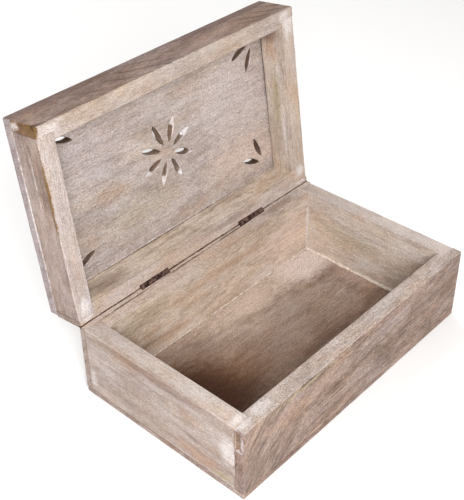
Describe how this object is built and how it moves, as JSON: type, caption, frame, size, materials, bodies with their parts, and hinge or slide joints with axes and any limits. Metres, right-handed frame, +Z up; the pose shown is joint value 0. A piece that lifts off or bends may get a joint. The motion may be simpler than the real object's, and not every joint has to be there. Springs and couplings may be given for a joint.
{
  "type": "keepsake box",
  "caption": "Low wooden keepsake box with rabbeted corners, a flat bottom and a hinged lid pierced with a petalled flower; the lid swings from shut to just past upright on butt hinges.",
  "frame": {"origin": "centre of the base's underside", "axes": "+X along the box's length to the right, +Y from the front to the hinge side, +Z up; stored with the lid open"},
  "size_m": [0.229, 0.188, 0.1927],
  "materials": {
    "limed_wood": "limed and rubbed back, open grain, worn edges",
    "floor_wood": "thinly limed, brown with darker streaks",
    "lid_panel_wood": "limed and rubbed back, open grain",
    "antique_brass": "darkened brass, rubbed bright on the knuckles",
    "screw_brass": "darkened brass",
    "brad_steel": "bright wire"
  },
  "bodies": {
    "base": {"base_front_wall": "limed_wood", "base_back_wall": "limed_wood", "base_left_wall": "limed_wood", "base_right_wall": "limed_wood", "base_bottom_panel": "floor_wood", "base_corner_brads": "brad_steel", "base_panel_brads": "brad_steel", "base_hinge_screws": "screw_brass", "left_hinge_base_leaf": "antique_brass", "right_hinge_base_leaf": "antique_brass", "left_hinge_pin": "antique_brass", "right_hinge_pin": "antique_brass"},
    "lid": {"lid_front_wall": "limed_wood", "lid_back_wall": "limed_wood", "lid_left_wall": "limed_wood", "lid_right_wall": "limed_wood", "lid_top_panel": "lid_panel_wood", "lid_corner_brads": "brad_steel", "lid_panel_brads": "brad_steel", "lid_hinge_screws": "screw_brass", "left_hinge_lid_leaf": "antique_brass", "right_hinge_lid_leaf": "antique_brass"}
  },
  "joints": [
    {"name": "lid_hinge", "type": "hinge", "parent": "base", "child": "lid", "pos_m": [0, 0.0685, 0.05615], "axis": [1, 0, 0], "range_deg": [0, 98]}
  ]
}
